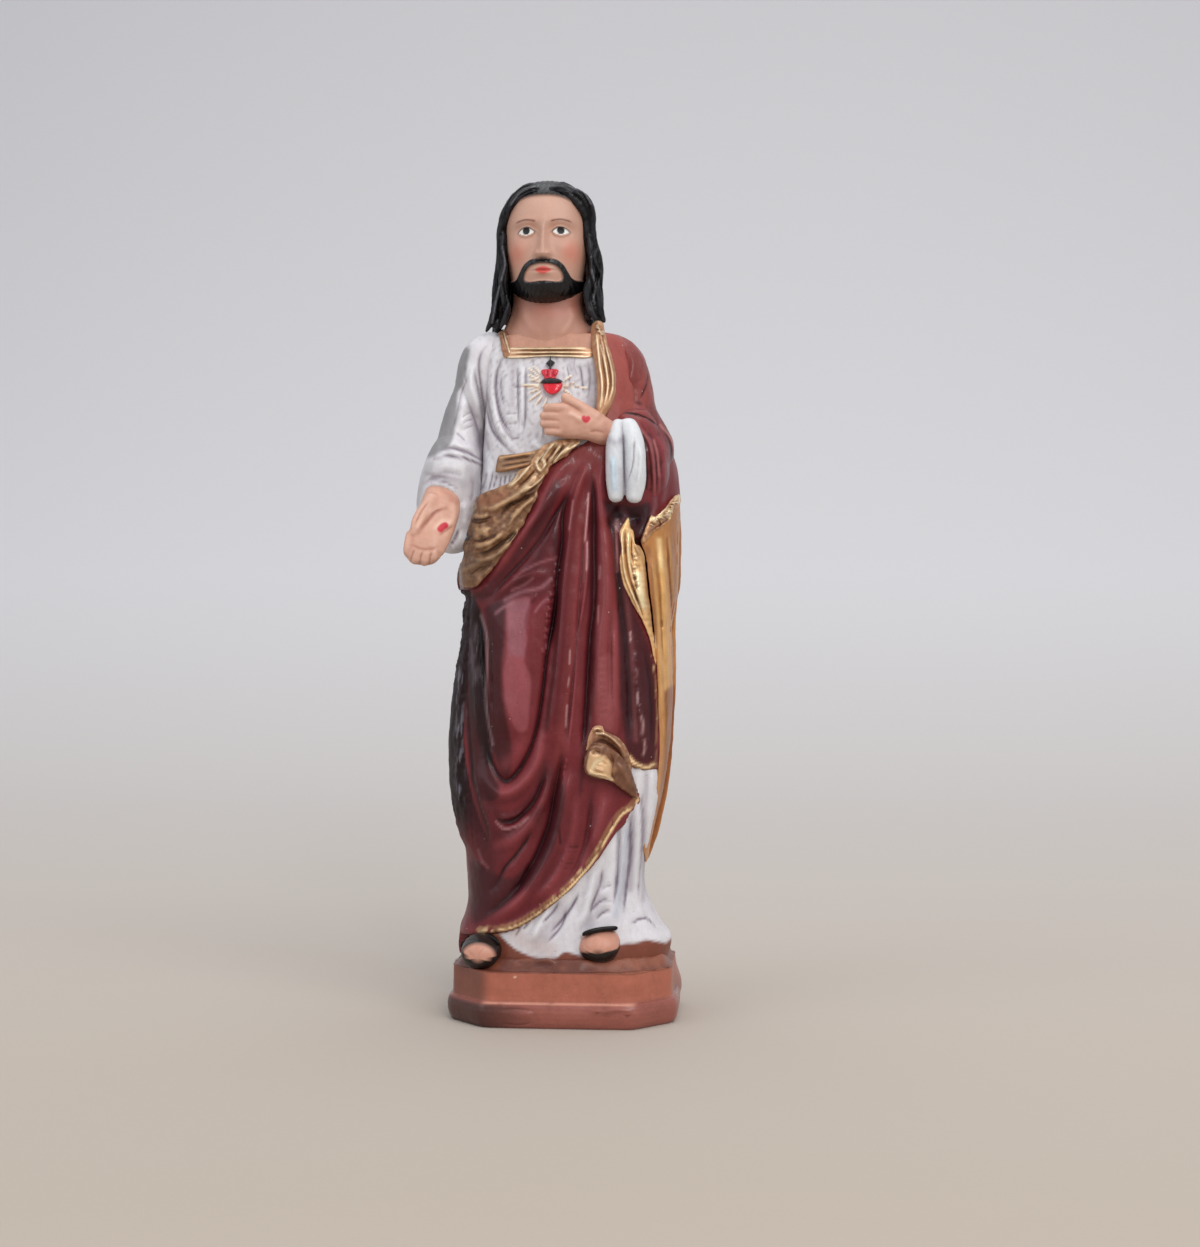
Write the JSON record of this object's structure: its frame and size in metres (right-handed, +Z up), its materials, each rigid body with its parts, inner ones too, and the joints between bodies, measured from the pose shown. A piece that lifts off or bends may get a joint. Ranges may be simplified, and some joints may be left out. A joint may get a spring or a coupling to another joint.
{
  "type": "sacred heart statue",
  "caption": "Painted cast figure of a robed, bearded man with one hand on the heart on his breast and the other held out, standing on a low eight-sided plinth",
  "frame": {"origin": "the middle of the plinth's underside", "axes": "+Z is up, -Y is the front, which the figure faces, and +X is the side of its raised left hand"},
  "size_m": [0.066, 0.044, 0.1996],
  "materials": {
    "painted_resin": "hand painted cast resin, satin varnish over matt grooves"
  },
  "bodies": {
    "root": {"statue": "painted_resin"}
  },
  "joints": []
}
